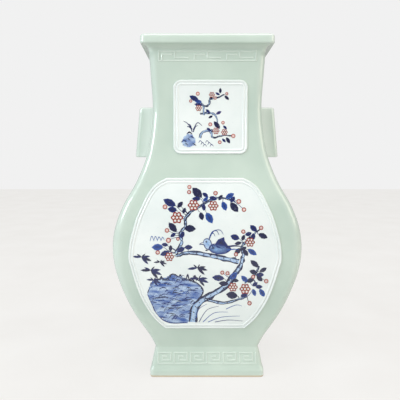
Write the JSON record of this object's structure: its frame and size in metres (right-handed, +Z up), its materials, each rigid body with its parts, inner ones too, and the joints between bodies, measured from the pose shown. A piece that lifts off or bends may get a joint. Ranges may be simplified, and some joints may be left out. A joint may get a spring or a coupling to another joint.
{
  "type": "hu vase",
  "caption": "Tall rectangular celadon vase with open neck lugs, key fret bands, a splayed foot and white painted panels.",
  "frame": {"origin": "middle of the foot's underside, on the surface that the vase stands on", "axes": "+Z up, -Y out of the painted front, +X towards the right lug as seen from the front"},
  "size_m": [0.2194, 0.1296, 0.4],
  "materials": {
    "celadon_glaze": "gloss",
    "white_glaze": "gloss",
    "foot_glaze": "gloss with a bare ground edge"
  },
  "bodies": {
    "root": {"front_wall": "celadon_glaze", "back_wall": "celadon_glaze", "left_wall": "celadon_glaze", "right_wall": "celadon_glaze", "floor_slab": "celadon_glaze", "front_lip": "celadon_glaze", "back_lip": "celadon_glaze", "left_lip": "celadon_glaze", "right_lip": "celadon_glaze", "front_foot": "foot_glaze", "back_foot": "foot_glaze", "left_foot": "foot_glaze", "right_foot": "foot_glaze", "left_lug": "celadon_glaze", "right_lug": "celadon_glaze", "front_rim_fret": "celadon_glaze", "back_rim_fret": "celadon_glaze", "left_rim_fret": "celadon_glaze", "right_rim_fret": "celadon_glaze", "front_foot_fret": "celadon_glaze", "back_foot_fret": "celadon_glaze", "left_foot_fret": "celadon_glaze", "right_foot_fret": "celadon_glaze", "front_neck_border": "white_glaze", "front_neck_field": "white_glaze", "front_belly_border": "white_glaze", "front_belly_field": "white_glaze", "back_neck_border": "white_glaze", "back_neck_field": "white_glaze", "back_belly_border": "white_glaze", "back_belly_field": "white_glaze"}
  },
  "joints": []
}
